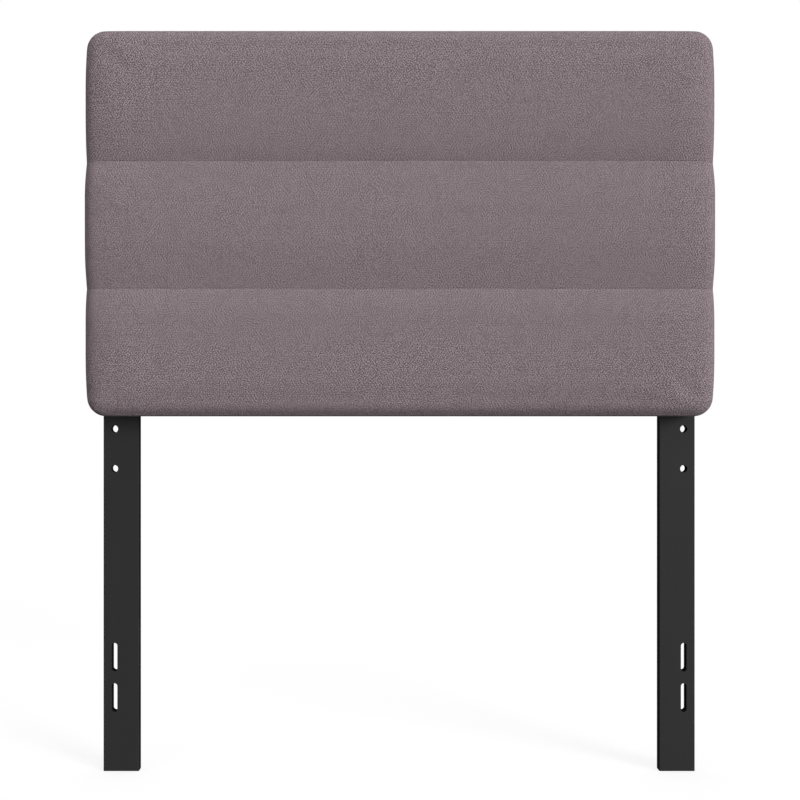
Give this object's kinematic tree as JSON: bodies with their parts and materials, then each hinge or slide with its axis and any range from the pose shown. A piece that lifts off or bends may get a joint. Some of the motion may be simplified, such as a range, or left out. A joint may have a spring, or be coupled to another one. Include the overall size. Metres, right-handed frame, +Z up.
{
  "type": "headboard",
  "caption": "Padded fabric headboard with horizontal channels, rounded corners and two flat slotted legs that bolt to a bed frame.",
  "frame": {"origin": "on the floor, midway between the legs and midway in the depth from the padded front to the bolt heads", "axes": "+Z up, the padded front faces -Y, +X to the right when seen from the front"},
  "size_m": [1, 0.1018, 1.1923],
  "materials": {
    "fabric": "matte",
    "foam": "matte",
    "timber": "matte",
    "board": "matte",
    "black_wood": "satin",
    "dust_cloth": "matte",
    "zinc_steel": "satin"
  },
  "bodies": {
    "root": {"top_cover": "fabric", "middle_cover": "fabric", "bottom_cover": "fabric", "top_foam": "foam", "middle_foam": "foam", "bottom_foam": "foam", "face_board": "board", "top_rail": "timber", "bottom_rail": "timber", "left_stile": "timber", "right_stile": "timber", "centre_stile": "timber", "corner_blocks": "timber", "dust_cover": "dust_cloth", "left_leg": "black_wood", "right_leg": "black_wood", "t_nuts": "zinc_steel", "leg_bolts": "zinc_steel", "flat_washers": "zinc_steel", "spring_washers": "zinc_steel"}
  },
  "joints": []
}
